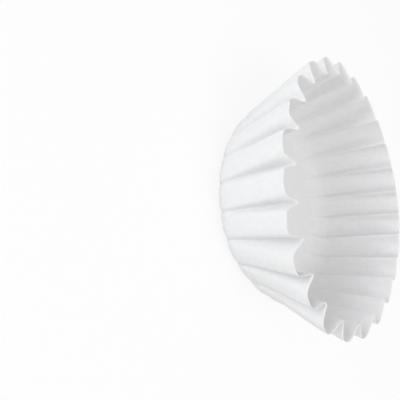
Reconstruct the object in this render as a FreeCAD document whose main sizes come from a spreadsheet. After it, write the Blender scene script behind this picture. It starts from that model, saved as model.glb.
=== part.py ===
# A basket coffee filter: one round sheet of filter paper, pressed into a flat base and a fluted wall.
# Frame: the filter stands on its base, mouth up, and the origin is the middle of the base's underside.
# Lengths are in millimetres and angles in degrees.

import FreeCAD, Part
import os

# The flat sheet, the mould that it is pressed in, its flutes and the paper.
# corner_turn: how far the corner turns up from the base before it meets the flutes.
# wall_lean: how far the flutes lean out from upright.
# lobe_turn: how far a flute turns from its middle to the crease beside it, at the rim.
DRIVING_SIZES = {
    "sheet_diameter": 250,
    "base_diameter": 110,
    "corner_radius": 16,
    "corner_turn": 60,
    "wall_lean": 18.5,
    "flutes": 24,
    "lobe_turn": 78,
    "paper": 0.2,
}

# How many narrow bands make up the round of the corner.
CORNER_BANDS = 5

# A tube leans in the plane of X and Z. Its angle comes from the sheet.
LEAN_AXIS = FreeCAD.Vector(0, 1, 0)

# Sizes that follow from the driving ones, in the sheet's own terms.
BASE_RADIUS = "(sizes.base_diameter / 2)"
HALF_PITCH = "(180 / sizes.flutes)"

# The middle line of a flute is a radius of the flat sheet: flat base, round corner and straight wall.
FLUTE_LENGTH = f"(sizes.sheet_diameter / 2 - {BASE_RADIUS})"
UPTURN = "(90 - sizes.wall_lean)"
STRAIGHT = f"({FLUTE_LENGTH} - sizes.corner_radius * {UPTURN} * pi / 180)"
RIM_RADIUS = f"({BASE_RADIUS} + sizes.corner_radius * sin({UPTURN}) + {STRAIGHT} * cos({UPTURN}))"
RIM_HEIGHT = f"(sizes.corner_radius * (1 - cos({UPTURN})) + {STRAIGHT} * sin({UPTURN}))"

# The tube that a flute is part of, and where its axis ends, level with the rim.
PITCH_SHARE = f"(sin(sizes.lobe_turn) / tan({HALF_PITCH}))"
BULGE_SHARE = "((1 - cos(sizes.lobe_turn)) / cos(sizes.wall_lean))"
TUBE_RADIUS = f"({RIM_RADIUS} / ({PITCH_SHARE} + {BULGE_SHARE}))"
AXIS_RADIUS = f"({RIM_RADIUS} - {TUBE_RADIUS} * cos(sizes.wall_lean))"
AXIS_HEIGHT = f"({RIM_HEIGHT} + {TUBE_RADIUS} * sin(sizes.wall_lean))"

# How far the room inside the filter goes on past the rim. It clears the highest crease and opens the mouth.
PAST_RIM = f"({TUBE_RADIUS} * tan(sizes.wall_lean))"


def write_sizes(doc):
    """Puts the driving sizes in the document's sheet, each under its own alias."""
    sheet = doc.addObject("Spreadsheet::Sheet", "sizes")
    for row, (alias, value) in enumerate(DRIVING_SIZES.items(), start=1):
        sheet.set("A%d" % row, alias)
        sheet.set("B%d" % row, str(value))
        sheet.setAlias("B%d" % row, alias)
    doc.recompute()


def bind(thing, expressions):
    """Ties each named size of an object to the sheet."""
    for name, expression in expressions.items():
        thing.setExpression(name, expression)


def origin_feature(body, role):
    """One of a body's own planes or axes."""
    return next(feature for feature in body.Origin.OriginFeatures if feature.Role == role)


def add_core(body, top):
    """The filled middle of a ring of flutes. It reaches to halfway between the axes of two neighbours."""
    at_base = f"({AXIS_RADIUS} - {AXIS_HEIGHT} * tan(sizes.wall_lean))"
    at_top = f"({at_base} + {top} * tan(sizes.wall_lean))"
    core = body.newObject("PartDesign::AdditiveCone", body.Name + "_core")
    bind(core, {
        "Radius1": f"{at_base} * cos({HALF_PITCH})",
        "Radius2": f"{at_top} * cos({HALF_PITCH})",
        "Height": top,
    })
    return core


def add_tube(body, inset, past_rim):
    """One flute's tube. It leans out, starts below the base and ends square to its axis at the rim."""
    length = f"({AXIS_HEIGHT} / cos(sizes.wall_lean) + {TUBE_RADIUS})"
    tube = body.newObject("PartDesign::AdditiveCylinder", body.Name + "_tube")
    lean = FreeCAD.Rotation(LEAN_AXIS, DRIVING_SIZES["wall_lean"])
    tube.Placement = FreeCAD.Placement(FreeCAD.Vector(), lean)
    bind(tube, {
        "Radius": f"{TUBE_RADIUS} - {inset}",
        "Height": f"{length} + {past_rim}",
        "Placement.Rotation.Angle": "sizes.wall_lean * 1 deg",
        "Placement.Base.x": f"{AXIS_RADIUS} - {length} * sin(sizes.wall_lean)",
        "Placement.Base.z": f"{AXIS_HEIGHT} - {length} * cos(sizes.wall_lean)",
    })
    return tube


def add_flutes(doc, name, inset, past_rim):
    """One side of the fluted wall: a ring of tubes that meet at the creases, on a filled core."""
    body = doc.addObject("PartDesign::Body", name)
    add_core(body, f"({AXIS_HEIGHT} + {past_rim})")
    tube = add_tube(body, inset, past_rim)
    doc.recompute()
    ring = body.newObject("PartDesign::PolarPattern", name + "_ring")
    ring.Originals = [tube]
    ring.Axis = (origin_feature(body, "Z_Axis"), [""])
    ring.Angle = 360
    bind(ring, {"Occurrences": "sizes.flutes"})
    body.Tip = ring
    return body


def corner_point(inset, band):
    """Where a band of the corner ends: its distance from the filter's axis and its height."""
    bend = f"(sizes.corner_radius - {inset})"
    turn = f"(sizes.corner_turn * {band} / {CORNER_BANDS})"
    return f"({BASE_RADIUS} + {bend} * sin({turn}))", f"(sizes.corner_radius - {bend} * cos({turn}))"


def add_mould(doc, name, inset):
    """The round form behind one side of the paper: flat base, soft corner and a wall up past the rim."""
    body = doc.addObject("PartDesign::Body", name)
    corners = [corner_point(inset, band) for band in range(CORNER_BANDS + 1)]
    last_radius, last_height = corners[-1]
    lid = f"({AXIS_HEIGHT} + 2 * {PAST_RIM})"
    corners.append((f"({last_radius} + ({lid} - {last_height}) / tan(sizes.corner_turn))", lid))
    for (low_radius, low), (high_radius, high) in zip(corners, corners[1:]):
        band = body.newObject("PartDesign::AdditiveCone", name + "_band")
        bind(band, {
            "Radius1": low_radius,
            "Radius2": high_radius,
            "Height": f"{high} - {low}",
            "Placement.Base.z": low,
        })
    body.Tip = band
    return body


def add_side(doc, name, inset, past_rim):
    """All that one side of the paper encloses: the flutes, kept within the mould."""
    side = doc.addObject("Part::Common", name)
    side.Base = add_flutes(doc, name + "_flutes", inset, past_rim)
    side.Tool = add_mould(doc, name + "_mould", inset)
    return side


def check(doc, parts):
    """Stops before anything is written if an object failed, or if a part has no valid shape."""
    for thing in doc.Objects:
        if "Invalid" in thing.State or "Error" in thing.State:
            raise RuntimeError("%s is %s" % (thing.Name, thing.State))
    for part in parts:
        if part.Shape.isNull() or not part.Shape.isValid() or len(part.Shape.Solids) != 1:
            raise RuntimeError("%s isn't one valid solid" % part.Label)


def main():
    doc = FreeCAD.newDocument("coffee_filter")
    write_sizes(doc)
    paper = doc.addObject("Part::Cut", "filter_paper")
    paper.Label = "filter_paper"
    paper.Base = add_side(doc, "outside", "0", "0")
    paper.Tool = add_side(doc, "inside", "sizes.paper", PAST_RIM)
    paper.Placement = FreeCAD.Placement()
    doc.recompute()
    parts = [paper]
    check(doc, parts)
    os.makedirs("parts", exist_ok=True)
    for part in parts:
        part.Shape.exportStep("parts/%s.step" % part.Label)


main()
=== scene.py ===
# %% [markdown]
# # A paper coffee filter
# A basket filter starts as one round, flat sheet of filter paper. A ring of metal fingers presses
# it over a mould. The middle stays flat and becomes the base. Outside it the sheet turns up, and
# because a smaller ring has to hold the same length of paper, the spare length goes into flutes.
# This lesson makes the sheet by that rule, so its flutes are as deep as real ones.
#
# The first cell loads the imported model. It gives the frame in which everything stands: metres, the
# filter on its base, mouth up, the origin in the middle of the base.

# %% Load the frame
import math
from types import SimpleNamespace

import bpy
from mathutils import Matrix, Vector


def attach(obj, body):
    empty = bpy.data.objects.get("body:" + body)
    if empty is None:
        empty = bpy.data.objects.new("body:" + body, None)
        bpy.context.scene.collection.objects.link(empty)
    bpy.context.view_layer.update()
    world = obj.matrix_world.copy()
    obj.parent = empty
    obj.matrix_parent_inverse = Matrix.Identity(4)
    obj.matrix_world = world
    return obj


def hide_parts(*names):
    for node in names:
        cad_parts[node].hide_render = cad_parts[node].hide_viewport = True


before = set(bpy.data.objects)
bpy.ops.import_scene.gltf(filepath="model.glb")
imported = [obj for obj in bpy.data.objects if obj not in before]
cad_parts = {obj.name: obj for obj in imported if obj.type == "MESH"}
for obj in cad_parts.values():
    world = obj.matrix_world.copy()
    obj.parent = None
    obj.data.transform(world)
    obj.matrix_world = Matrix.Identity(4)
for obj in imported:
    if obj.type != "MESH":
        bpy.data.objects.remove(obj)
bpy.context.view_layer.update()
MM = 0.001
CM = 0.01


# %% [markdown]
# ## Nodes written as sums
# Both the shape and the paper's finish are node trees. Wiring them by hand hides the maths, so a
# small class wraps an output socket and turns an expression such as `1 - mask` into Math nodes.
# Every other kind of node comes from one method, which takes its settings before its inputs because
# some settings change which sockets the node has.

# %% A class for sums on sockets
class Value:
    """A number that a node gives out. Sums on it add Math nodes to the same tree."""

    def __init__(self, board, socket):
        self.board = board
        self.socket = socket

    def __add__(self, other):
        return self.board.maths("ADD", self, other)

    def __sub__(self, other):
        return self.board.maths("SUBTRACT", self, other)

    def __rsub__(self, other):
        return self.board.maths("SUBTRACT", other, self)

    def __mul__(self, other):
        return self.board.maths("MULTIPLY", self, other)

    def __truediv__(self, other):
        return self.board.maths("DIVIDE", self, other)

    def __rtruediv__(self, other):
        return self.board.maths("DIVIDE", other, self)

    def __pow__(self, other):
        return self.board.maths("POWER", self, other)

    __radd__ = __add__
    __rmul__ = __mul__

    def sine(self):
        return self.board.maths("SINE", self)

    def cosine(self):
        return self.board.maths("COSINE", self)

    def at_least(self, other):
        return self.board.maths("MAXIMUM", self, other)

    def at_most(self, other):
        return self.board.maths("MINIMUM", self, other)

    def root(self):
        """The square root, or 0 for a number below 0."""
        return self.board.maths("SQRT", self.at_least(0.0))


# %% A class for node trees
class Board:
    """A node tree that is built by calls."""

    def __init__(self, tree):
        self.tree = tree

    def node(self, kind, settings=None, inputs=None):
        """Adds a node from its type, its settings, and a value or a link for each input."""
        made = self.tree.nodes.new(kind)
        for name, setting in (settings or {}).items():
            setattr(made, name, setting)
        for name, value in (inputs or {}).items():
            if isinstance(value, Value):
                self.tree.links.new(value.socket, made.inputs[name])
            else:
                made.inputs[name].default_value = value
        return made

    def value(self, kind, settings=None, inputs=None, output=0):
        """Adds a node and gives one of its outputs."""
        return Value(self, self.node(kind, settings, inputs).outputs[output])

    def maths(self, operation, *terms):
        """Adds a Math node."""
        return self.value("ShaderNodeMath", {"operation": operation}, dict(enumerate(terms)))

    def smooth_step(self, value, low, high):
        """Goes smoothly from 0 to 1 as a value goes from low to high."""
        inputs = {"Value": value, "From Min": low, "From Max": high}
        return self.value("ShaderNodeMapRange", {"interpolation_type": "SMOOTHSTEP"}, inputs)

    def point(self, x, y, z=0.0):
        """Joins three numbers to a place."""
        return self.value("ShaderNodeCombineXYZ", None, {"X": x, "Y": y, "Z": z})


# %% [markdown]
# ## The sheet's rule
# A point of the sheet is named by where it lay when the paper was flat: its distance from the
# middle, and its direction.
#
# - The crease line is the profile of every inward fold. It is flat over the base, turns up through
#   a small corner and then runs almost upright.
# - A ring of the flat sheet keeps its length. At the depth of the creases the ring is shorter, and
#   the flanks of the flutes take up the spare length. Each flank is the long side of a triangle
#   whose short side is half a groove's width, so the depth of the flutes follows from the two
#   lengths by Pythagoras. Round flanks are shorter than straight ones, and a small gain makes up
#   for that.
# - Neither a crease nor a flute's shoulder is sharp. Paper turns round the crease in an arc, and
#   the shoulder is softer still.
# - Close to the base the crepe of the paper takes up a part of the spare length, so the flutes
#   start softly. The fingers still press the foot of each crease in a little.
#
# Geometry Nodes suit this well: the rule is the same at every point, so one tree of sums moves a
# plain grid to its place.

# %% Sizes of the sheet
FLUTES = 24
SHEET_RADIUS = 125 * MM
BASE_RADIUS = 54.1 * MM
PAPER = 0.2 * MM

# The crease line: the radius of its corner, and how far it turns up.
CREASE_CORNER = 14.2 * MM
CREASE_UPTURN = math.radians(80.4)

# The grooves' width, the power by which it grows up the wall, and the arc in a crease as a share of
# half the width.
GROOVE_AT_BASE = 3.0 * MM
GROOVE_AT_RIM = 7.0 * MM
GROOVE_GROWTH = 1.1
ARC_SHARE = 0.5

# How far up from the base the crepe takes up a part of what is spare, and how deep the fingers
# press the creases' feet.
FOLDS_WHOLE = 6.0 * MM
PRESSED_DEPTH = 0.4 * MM

# A flute's section: how soft its shoulder is and how much of a round bulge it has, the gain that
# makes up for round flanks, and how far it leans out with the crease line.
SHOULDER_SOFTNESS = 0.9
PANEL_BULGE = 0.4
ROUNDING_GAIN = 1.115
LEAN_SHARE = 0.91

# The grid. Its columns crowd towards each crease by this power.
COLUMNS_PER_FLUTE = 24
ROWS = 64
BASE_ROWS = 8
COLUMN_CROWDING = 1.5


# %% [markdown]
# ## The real one is uneven
# The fingers don't gather the paper evenly, and a filter that has been handled is a little out of
# round. Slow waves round the ring describe how the creases drift, how far the ring is out of round,
# how wide the grooves are and how round the flutes. Each wave has its order, its size and the
# direction in degrees where it is greatest. What moves the paper grows from nothing at the base to
# its full size at the rim. Each flute and each crease also has a small chance of its own, from a
# fixed seed.
#
# In two places the wall has been pulled straight by a hand. There it is hollow lower down and the
# flutes are rounder, and the rim is moved a little too.

# %% Sizes of the unevenness
DRIFT_WAVES = ((1, 2.4 * MM, 210.5), (2, 3.6 * MM, 21.5), (3, 1.8 * MM, 89.5))
OUT_OF_ROUND_WAVES = ((1, 1.3 * MM, 133.5), (3, 1.4 * MM, 6.5))
GROOVE_WAVES = ((2, 0.3, 350),)
ROUNDNESS_WAVES = ((1, 0.15, 240),)

# Each pull's direction in degrees, how far the rim is moved out and how hollow the wall is. The two
# powers say how narrow a pull is, and how late up the wall it moves the paper out.
PULLS = ((135.5, 1.4 * MM, 6.0 * MM), (16.5, -0.7 * MM, 3.2 * MM))
PULL_NARROWNESS = 8
PULL_GROWTH = 3
ROUNDER_WHERE_PULLED = 0.15

FLUTE_CHANCE = 0.07
CREASE_CHANCE = 1.0 * MM
GROOVE_CHANCE = 0.15
SEED = 7

# A node that gives chance values has sockets for each kind of data. These are the numbers of those
# for plain ones.
CHANCE_LOW = 2
CHANCE_HIGH = 3
CHANCE_OUT = 1


def waves(turn, table):
    """The sum of some waves round the ring, at an angle in radians."""
    total = 0.0
    for order, size, peak in table:
        total = ((turn - math.radians(peak)) * order).cosine() * size + total
    return total


def chance(board, number, seed):
    """A chance value from -1 to 1 that belongs to a flute or a crease, whichever number it has."""
    inputs = {CHANCE_LOW: -1.0, CHANCE_HIGH: 1.0, "ID": number, "Seed": seed}
    return board.value("FunctionNodeRandomValue", {"data_type": "FLOAT"}, inputs, CHANCE_OUT)


# %% [markdown]
# ## Name every point of the grid
# The grid's columns go round the ring and its rows go out from the middle. A column knows its
# flute, the crease beside it and its share of the way from that crease to the flute's middle. A row
# knows its share of the base and of the wall. A column on the line between two flutes must land in
# one of them, whatever the rounding, so the count has some slack.

# %% Points of the sheet
COUNT_SLACK = 1e-4


def sheet_points(board, size, half_pitch):
    """The plain grid, with the numbers that name each of its points."""
    grid = board.node("GeometryNodeMeshGrid", None, {
        "Size X": 1.0,
        "Size Y": 1.0,
        "Vertices X": size["Flutes"] * COLUMNS_PER_FLUTE + 1,
        "Vertices Y": ROWS + 1,
    })
    place = board.node("ShaderNodeSeparateXYZ", None, {0: board.value("GeometryNodeInputPosition")})
    around = (Value(board, place.outputs["X"]) + 0.5) * size["Flutes"]
    out = Value(board, place.outputs["Y"]) + 0.5

    flute = board.maths("FLOOR", around + COUNT_SLACK)
    across = (around - flute) * 2 - 1
    to_crease = board.maths("ABSOLUTE", across)
    next_crease = flute + board.maths("GREATER_THAN", across, 0.0)

    base_share = BASE_ROWS / ROWS
    past_base = ((out - base_share) / (1 - base_share)).at_least(0.0)
    on_base = (out / base_share).at_most(1.0) * size["Base Radius"]
    up_wall = past_base * (size["Sheet Radius"] - size["Base Radius"])
    return SimpleNamespace(
        grid=Value(board, grid.outputs["Mesh"]),
        flat_turn=around * 2 * half_pitch,
        flute_middle=flute * 2 * half_pitch,
        side=board.maths("SIGN", across),
        near_crease=to_crease * to_crease,
        from_crease=(1 - to_crease) ** COLUMN_CROWDING,
        flute=board.maths("MODULO", flute, size["Flutes"]),
        crease=board.maths("MODULO", next_crease, size["Flutes"]),
        past_base=past_base,
        on_base=on_base,
        up_wall=up_wall,
        flat_radius=on_base + up_wall,
    )


# %% [markdown]
# ## The crease line and the flutes' depth
# These are the first two parts of the rule: a profile, and the depth that the spare length of paper
# makes.

# %% The crease line and the depth
def crease_line(size, spot):
    """The creases' profile: how far it has turned up, its distance from the axis and its height."""
    corner = size["Crease Corner"]
    bend = (spot.up_wall / corner).at_most(size["Crease Upturn"])
    straight = spot.up_wall - bend * corner
    radius = spot.on_base + bend.sine() * corner + straight * size["Crease Upturn"].cosine()
    height = (1 - bend.cosine()) * corner + straight * size["Crease Upturn"].sine()
    return bend, radius, height


def groove_width(board, size, spot, half_pitch):
    """Half the width of the groove beside a point."""
    crease_turn = spot.crease * 2 * half_pitch - half_pitch
    own_chance = chance(board, spot.crease, size["Seed"] + 2) * GROOVE_CHANCE
    own_width = 1 + waves(crease_turn, GROOVE_WAVES) + own_chance
    widening = (size["Groove At Rim"] - size["Groove At Base"]) * spot.past_base ** GROOVE_GROWTH
    return (size["Groove At Base"] + widening) * 0.5 * own_width


def flute_depth(board, size, spot, half_ring, half_flat_ring, half_groove):
    """How deep the flutes are where the flat ring of paper is longer than the ring of creases."""
    spare = half_flat_ring - half_ring
    fold_depth = (spare * (spare + half_groove * 2)).root() * ROUNDING_GAIN
    folded = (spot.up_wall / FOLDS_WHOLE).at_most(1.0)
    own_depth = 1 + chance(board, spot.flute, size["Seed"]) * FLUTE_CHANCE
    return (fold_depth * folded + folded.root() * PRESSED_DEPTH) * own_depth


# %% [markdown]
# ## The section of a flute
# Out from the crease come an arc, a straight flank, a soft shoulder and a slightly bulged panel.
# The result is a lift from the crease line, and the last function adds the unevenness to it.

# %% The section and the unevenness
def flute_lift(board, spot, half_ring, half_groove, depth, roundness):
    """How far the paper stands out from the crease line."""
    steepness = depth / half_groove
    arc_radius = half_groove * ARC_SHARE
    arc_end = steepness / (steepness * steepness + 1).root() * arc_radius
    aside = spot.from_crease * half_ring
    in_arc = aside.at_most(arc_end)
    arc = arc_radius - (arc_radius * arc_radius - in_arc * in_arc).root()
    flank = arc + (aside - in_arc) * steepness
    shoulder = board.maths("SMOOTH_MIN", flank, depth, depth * SHOULDER_SOFTNESS)
    bulge = (spot.from_crease * (math.pi / 2)).sine() * depth
    return bulge * roundness + shoulder * (1 - roundness)


def pull(spot, turn):
    """How much a point is in a pulled place, and how far the wall is moved out there."""
    share = 0.0
    moved = 0.0
    late = spot.past_base ** PULL_GROWTH
    early = (spot.past_base * math.pi).sine() * (1 - spot.past_base)
    for direction, at_rim, below in PULLS:
        pulled = (turn - math.radians(direction)).cosine().at_least(0.0) ** PULL_NARROWNESS
        share = pulled + share
        moved = pulled * (late * at_rim - early * below) + moved
    return share, moved


def uneven_place(board, size, spot, radius, half_pitch):
    """The point's direction with the creases' drift, and how far the ring is out of round there."""
    even_turn = spot.flute_middle + spot.side * (1 - spot.from_crease) * half_pitch
    own_chance = chance(board, spot.crease, size["Seed"] + 1)
    own_drift = own_chance * spot.near_crease * spot.past_base * CREASE_CHANCE
    drift = waves(even_turn, DRIFT_WAVES) * spot.past_base
    out_of_round = waves(even_turn, OUT_OF_ROUND_WAVES) * spot.past_base
    return even_turn + (drift + own_drift) / radius, out_of_round


# %% [markdown]
# ## One tree from the parts
# The tree's inputs are the sizes that a maker of filters would choose, so one tree serves every
# size. It also keeps the flat sheet's own coordinates on each point, for the paper's grain.

# %% Build the tree for the fluted sheet
SIZE_INPUTS = {
    "Sheet Radius": SHEET_RADIUS,
    "Base Radius": BASE_RADIUS,
    "Crease Corner": CREASE_CORNER,
    "Crease Upturn": CREASE_UPTURN,
    "Groove At Base": GROOVE_AT_BASE,
    "Groove At Rim": GROOVE_AT_RIM,
}
COUNT_INPUTS = {"Flutes": FLUTES, "Seed": SEED}
JOIN_DISTANCE = 0.01 * MM


def add_inputs(tree):
    """Gives the tree its sockets: the sheet as output, its sizes, counts and paper as inputs."""
    tree.interface.new_socket("Sheet", in_out="OUTPUT", socket_type="NodeSocketGeometry")
    for name in SIZE_INPUTS:
        tree.interface.new_socket(name, in_out="INPUT", socket_type="NodeSocketFloat")
    for name in COUNT_INPUTS:
        tree.interface.new_socket(name, in_out="INPUT", socket_type="NodeSocketInt")
    tree.interface.new_socket("Paper", in_out="INPUT", socket_type="NodeSocketMaterial")


def sheet_tree():
    """The node tree that makes the fluted sheet from its sizes."""
    tree = bpy.data.node_groups.new("fluted sheet", "GeometryNodeTree")
    add_inputs(tree)
    board = Board(tree)
    sizes = board.node("NodeGroupInput")
    size = {socket.name: Value(board, socket) for socket in sizes.outputs if socket.name}
    half_pitch = math.pi / size["Flutes"]
    spot = sheet_points(board, size, half_pitch)

    bend, crease_radius, crease_height = crease_line(size, spot)
    half_ring = crease_radius * half_pitch
    half_groove = groove_width(board, size, spot, half_pitch)
    depth = flute_depth(board, size, spot, half_ring, spot.flat_radius * half_pitch, half_groove)

    plain_turn = spot.flat_turn - half_pitch
    pulled, moved = pull(spot, plain_turn)
    roundness = pulled * ROUNDER_WHERE_PULLED + waves(plain_turn, ROUNDNESS_WAVES) + PANEL_BULGE
    lift = flute_lift(board, spot, half_ring, half_groove, depth, roundness)
    turn, out_of_round = uneven_place(board, size, spot, crease_radius, half_pitch)
    lean = bend * LEAN_SHARE
    radius = crease_radius + lift * lean.sine() + out_of_round + moved
    height = (crease_height - lift * lean.cosine()).at_least(0.0)

    flat_x = spot.flat_radius * spot.flat_turn.cosine()
    flat_y = spot.flat_radius * spot.flat_turn.sine()
    on_points = {"data_type": "FLOAT2", "domain": "POINT"}
    marked = board.value("GeometryNodeStoreNamedAttribute", on_points, {
        "Geometry": spot.grid,
        "Name": "flat_sheet",
        "Value": board.point(flat_x, flat_y),
    })
    shaped = board.value("GeometryNodeSetPosition", None, {
        "Geometry": marked,
        "Position": board.point(radius * turn.cosine(), radius * turn.sine(), height),
    })
    seam = {"Geometry": shaped, "Distance": JOIN_DISTANCE}
    joined = board.value("GeometryNodeMergeByDistance", None, seam)
    smooth = board.value("GeometryNodeSetShadeSmooth", None, {"Geometry": joined})
    real = board.value("GeometryNodeRealizeInstances", None, {"Geometry": smooth})
    finish = {"Geometry": real, "Material": size["Paper"]}
    papered = board.value("GeometryNodeSetMaterial", None, finish)
    board.node("NodeGroupOutput", None, {"Sheet": papered})
    return tree


sheet = sheet_tree()
print("sheet tree:", len(sheet.nodes), "nodes")


# %% [markdown]
# ## The paper
# Filter paper is bleached wood pulp with a crepe grain: it is matt, almost white and a touch cool.
# The grain and the faint wrinkles are far finer than the flutes, so they are bump. They read the
# flat sheet's coordinates, because the paper was creped before it was pressed, and its grain bends
# with the flutes.

# %% Make the paper
PAPER_WHITE = (0.828, 0.826, 0.832, 1.0)
PAPER_THIN = (0.803, 0.802, 0.81, 1.0)
PULP_SCALE = 260.0
PULP_THIN_FROM = 0.35
PULP_THIN_TO = 0.65
PAPER_ROUGHNESS = 0.9
PAPER_SHEEN = 0.2

# The crepe grain: how fine it is, how it is drawn out, the pulp's share in it, its height and how
# strongly it shows.
CREPE_SCALE = 1400.0
CREPE_STRETCH = (1.0, 0.6, 1.0)
PULP_IN_GRAIN = 0.6
GRAIN_HEIGHT = 0.05 * MM
GRAIN_STRENGTH = 0.2

# The faint wrinkles: how close they lie, how they wander, their height and how strongly they show.
WRINKLE_SCALE = 100.0
WRINKLE_WANDER = 0.6
WRINKLE_HEIGHT = 0.4 * MM
WRINKLE_STRENGTH = 0.5

# A Mix node has sockets for each kind of data. These are the numbers of the colour ones.
MIX_A = 6
MIX_B = 7
MIX_OUT = 2


def paper_color(board, pulp):
    """Thinner places in the pulp are a little darker."""
    thin = board.smooth_step(pulp, PULP_THIN_FROM, PULP_THIN_TO)
    inputs = {"Factor": thin, MIX_A: PAPER_WHITE, MIX_B: PAPER_THIN}
    return board.value("ShaderNodeMix", {"data_type": "RGBA"}, inputs, MIX_OUT)


def paper_relief(board, place, pulp):
    """The bump of the crepe grain, with faint wrinkles over it."""
    times = {"operation": "MULTIPLY"}
    stretched = board.value("ShaderNodeVectorMath", times, {0: place, 1: CREPE_STRETCH})
    crepe_noise = {"Vector": stretched, "Scale": CREPE_SCALE, "Detail": 3.0}
    crepe = board.value("ShaderNodeTexNoise", None, crepe_noise)
    grain = board.value("ShaderNodeBump", None, {
        "Height": crepe + pulp * PULP_IN_GRAIN,
        "Strength": GRAIN_STRENGTH,
        "Distance": GRAIN_HEIGHT,
    })
    wrinkles = board.value("ShaderNodeTexNoise", None, {
        "Vector": place,
        "Scale": WRINKLE_SCALE,
        "Detail": 2.0,
        "Distortion": WRINKLE_WANDER,
    })
    return board.value("ShaderNodeBump", None, {
        "Height": wrinkles,
        "Strength": WRINKLE_STRENGTH,
        "Distance": WRINKLE_HEIGHT,
        "Normal": grain,
    })


def filter_paper():
    """The material of the paper."""
    material = bpy.data.materials.new("filter paper")
    material.use_nodes = True
    board = Board(material.node_tree)
    board.tree.nodes.clear()
    flat = board.node("ShaderNodeAttribute", {"attribute_name": "flat_sheet"})
    place = Value(board, flat.outputs["Vector"])
    pulp = board.value("ShaderNodeTexNoise", None, {
        "Vector": place,
        "Scale": PULP_SCALE,
        "Detail": 5.0,
        "Roughness": 0.6,
    })
    surface = board.value("ShaderNodeBsdfPrincipled", None, {
        "Base Color": paper_color(board, pulp),
        "Roughness": PAPER_ROUGHNESS,
        "Specular IOR Level": PAPER_SHEEN,
        "Normal": paper_relief(board, place, pulp),
    })
    board.node("ShaderNodeOutputMaterial", None, {"Surface": surface})
    return material


paper_finish = filter_paper()
print("material:", paper_finish.name)


# %% [markdown]
# ## From the rule to a mesh
# The modifier's inputs are set by the sockets' identifiers before the tree is first evaluated. The
# evaluated object then becomes a plain mesh. Until here the sheet has no thickness, so its area can
# be measured. Paper doesn't stretch: one side of the filter has to have the area of the flat disc
# that it was cut as, and the gain for round flanks is set so that it does.

# %% Make the filter
def evaluated_mesh(thing):
    """The mesh of an object after its modifiers."""
    graph = bpy.context.evaluated_depsgraph_get()
    return bpy.data.meshes.new_from_object(thing.evaluated_get(graph))


def add_object(name, data):
    """Adds a mesh, a lamp or a camera to the scene."""
    thing = bpy.data.objects.new(name, data)
    bpy.context.scene.collection.objects.link(thing)
    return thing


def add_filter():
    """Sets the tree's inputs, and turns what it makes into a plain mesh."""
    blank = add_object("sheet_rule", bpy.data.meshes.new("sheet_rule"))
    rule = blank.modifiers.new("rule", "NODES")
    rule.node_group = sheet
    values = {**SIZE_INPUTS, **COUNT_INPUTS, "Paper": paper_finish}
    for item in sheet.interface.items_tree:
        if item.in_out == "INPUT":
            rule[item.identifier] = values[item.name]
    blank.update_tag()
    mesh = evaluated_mesh(blank)
    bpy.data.objects.remove(blank)
    mesh.name = "fluted_paper"
    return add_object("fluted_paper", mesh)


fluted_paper = add_filter()
one_side = sum(polygon.area for polygon in fluted_paper.data.polygons) / CM ** 2
flat_disc = math.pi * SHEET_RADIUS ** 2 / CM ** 2
print("one side of the filter: %.0f cm2, flat sheet: %.0f cm2" % (one_side, flat_disc))


# %% [markdown]
# ## Give it the paper's thickness
# Solidify builds the second side inwards, with a square cut edge at the rim.

# %% Make the paper thick
thickness = fluted_paper.modifiers.new("paper", "SOLIDIFY")
thickness.thickness = PAPER
thickness.offset = -1.0
fluted_paper.data = evaluated_mesh(fluted_paper)
fluted_paper.modifiers.clear()

fluted_paper.data.calc_loop_triangles()
print("filter:", len(fluted_paper.data.loop_triangles), "triangles")
lowest = min(vertex.co.z for vertex in fluted_paper.data.vertices)
print("lowest point in mm:", round(lowest / MM, 3))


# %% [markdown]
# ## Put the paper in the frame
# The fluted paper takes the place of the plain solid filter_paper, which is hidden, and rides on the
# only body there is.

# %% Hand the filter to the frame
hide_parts("filter_paper")
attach(fluted_paper, "root")


# %% [markdown]
# ## Floor, light and camera
# A white thing looks right only if the light shapes it: a large soft lamp beside the filter draws
# the flutes, one over the mouth lights the inside, and the world is pale. The floor is lit as any
# surface is and keeps the filter's shadow. Where only the camera sees it, most of its light comes
# from Emission, so that it stays white. It lies a hair below the base, so that the two faces don't
# meet.

# %% Lay the floor
FLOOR_SIZE = 6.0
FLOOR_DROP = 0.05 * MM
FLOOR_COLOR = (0.9, 0.9, 0.9, 1.0)
FLOOR_GLOW = 0.85
WHITE = (1.0, 1.0, 1.0, 1.0)


def floor_finish():
    """The floor's material. It is white to the camera and plain to the light."""
    material = bpy.data.materials.new("floor")
    material.use_nodes = True
    board = Board(material.node_tree)
    board.tree.nodes.clear()
    matt = board.value("ShaderNodeBsdfDiffuse", None, {"Color": FLOOR_COLOR})
    white = board.value("ShaderNodeEmission", None, {"Color": WHITE, "Strength": 1.0})
    rays = board.node("ShaderNodeLightPath")
    seen = Value(board, rays.outputs["Is Camera Ray"]) * FLOOR_GLOW
    surface = board.value("ShaderNodeMixShader", None, {"Fac": seen, 1: matt, 2: white})
    board.node("ShaderNodeOutputMaterial", None, {"Surface": surface})
    return material


def add_floor():
    """Adds the floor, which is part of the stage and not of the filter."""
    half = FLOOR_SIZE / 2
    corners = [(x * half, y * half, -FLOOR_DROP) for x, y in ((-1, -1), (1, -1), (1, 1), (-1, 1))]
    mesh = bpy.data.meshes.new("floor")
    mesh.from_pydata(corners, [], [(0, 1, 2, 3)])
    mesh.materials.append(floor_finish())
    add_object("floor", mesh)


add_floor()


# %% Light it
FILTER_MIDDLE = Vector((0.0, 0.0, 35 * MM))
LAMP_SIZE = 0.6
WORLD_STRENGTH = 0.73

# Each lamp's name, place in metres, power in watts and colour.
LAMPS = (
    ("side", (0.58, 0.94, 0.09), 4.8, (0.95, 1.0, 1.0)),
    ("mouth", (-0.3, 0.35, 0.95), 2.7, (1.0, 0.985, 0.985)),
)


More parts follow.
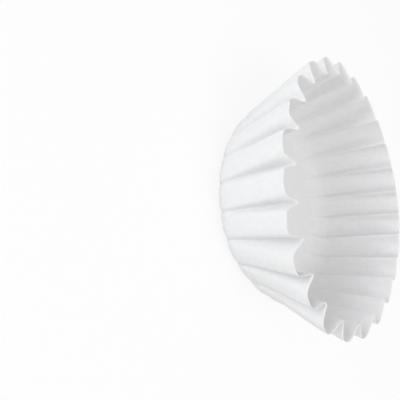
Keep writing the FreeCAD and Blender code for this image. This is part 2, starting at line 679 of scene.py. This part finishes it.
def aim(thing, place, target, up=Vector((0.0, 0.0, 1.0))):
    """Puts a lamp or a camera at a place and turns it to a target."""
    back = (place - target).normalized()
    right = up.cross(back).normalized()
    turn = Matrix((right, back.cross(right), back)).transposed()
    thing.matrix_world = Matrix.Translation(place) @ turn.to_4x4()


def add_lamp(name, place, power, color):
    """Adds a large round lamp that shines on the filter."""
    light = bpy.data.lights.new(name, "AREA")
    light.color = color
    light.shape = "DISK"
    light.size = LAMP_SIZE
    light.energy = power
    aim(add_object(name, light), Vector(place), FILTER_MIDDLE)


def light_world():
    """A pale world. The camera sees it white."""
    world = bpy.data.worlds.new("pale room")
    bpy.context.scene.world = world
    world.use_nodes = True
    board = Board(world.node_tree)
    board.tree.nodes.clear()
    rays = board.node("ShaderNodeLightPath")
    seen = Value(board, rays.outputs["Is Camera Ray"])
    strength = WORLD_STRENGTH + (1 - WORLD_STRENGTH) * seen
    glow = board.value("ShaderNodeBackground", None, {"Color": WHITE, "Strength": strength})
    board.node("ShaderNodeOutputWorld", None, {"Surface": glow})


for lamp in LAMPS:
    add_lamp(*lamp)
light_world()
print("lamps:", len(LAMPS))


# %% [markdown]
# The photo shows the filter on its side, so the camera is rolled: the filter stands, and the
# camera's upper side points along +X. The place, the point on the floor that the camera looks at,
# and the lens are those at which the rim's creases and the outline fall where they do in the photo.

# %% Place the camera
CAMERA_PLACE = Vector((42.9, 283.4, 175.5)) * MM
CAMERA_TARGET = Vector((19.2, 76.5, 0.0)) * MM
CAMERA_UP = Vector((0.974, -0.202, 0.107))
FRAME_PIXELS = 400
FOCAL_PIXELS = 465.5
SENSOR_WIDTH = 36.0

camera_data = bpy.data.cameras.new("camera")
camera_data.sensor_fit = "HORIZONTAL"
camera_data.sensor_width = SENSOR_WIDTH
camera_data.lens = SENSOR_WIDTH * FOCAL_PIXELS / FRAME_PIXELS
camera = add_object("camera", camera_data)
aim(camera, CAMERA_PLACE, CAMERA_TARGET, CAMERA_UP)
bpy.context.scene.camera = camera
bpy.context.scene.view_settings.view_transform = "Standard"
